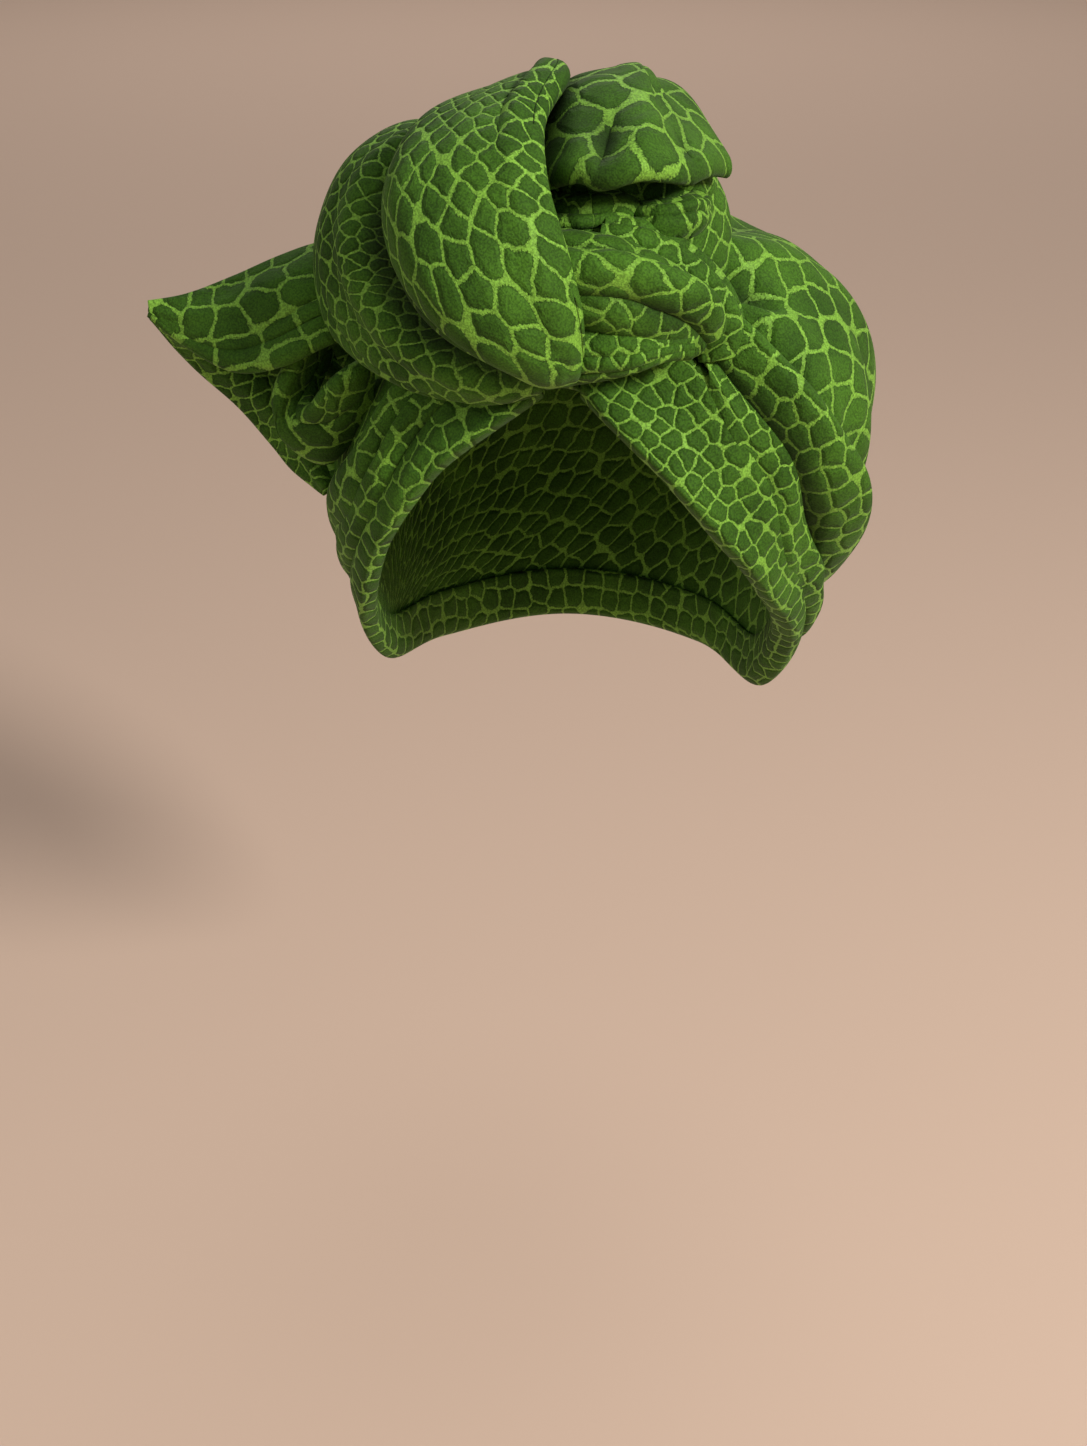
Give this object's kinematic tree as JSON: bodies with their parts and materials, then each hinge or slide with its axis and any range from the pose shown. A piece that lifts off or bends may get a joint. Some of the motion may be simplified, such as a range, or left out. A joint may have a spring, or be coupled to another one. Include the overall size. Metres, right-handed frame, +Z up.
{
  "type": "turban headwrap",
  "caption": "Knotted turban headwrap in scale-patterned cloth, hollow below for the head, with folded side bands, a twisted front knot and a loose cloth end.",
  "frame": {"origin": "the seat on top of the head, inside the wrap, where it is held up when worn", "axes": "+Z up, the face opening and knot towards -Y, +X to the viewer's right when facing the knot"},
  "size_m": [0.2548, 0.2333, 0.2489],
  "materials": {
    "wrap_cloth": "matt woven cloth with a raised lime-green scale pattern"
  },
  "bodies": {
    "root": {"crown": "wrap_cloth", "band_lower": "wrap_cloth", "band_middle": "wrap_cloth", "band_upper": "wrap_cloth", "knot_core": "wrap_cloth", "knot_drape": "wrap_cloth", "knot_roll": "wrap_cloth", "knot_tuck": "wrap_cloth", "knot_twist": "wrap_cloth", "knot_twist_upper": "wrap_cloth", "knot_lobe": "wrap_cloth", "knot_leaf": "wrap_cloth", "knot_coil": "wrap_cloth", "knot_side": "wrap_cloth", "tail_top": "wrap_cloth", "tail_under": "wrap_cloth", "tail_loop": "wrap_cloth", "tail_curl": "wrap_cloth"}
  },
  "joints": []
}
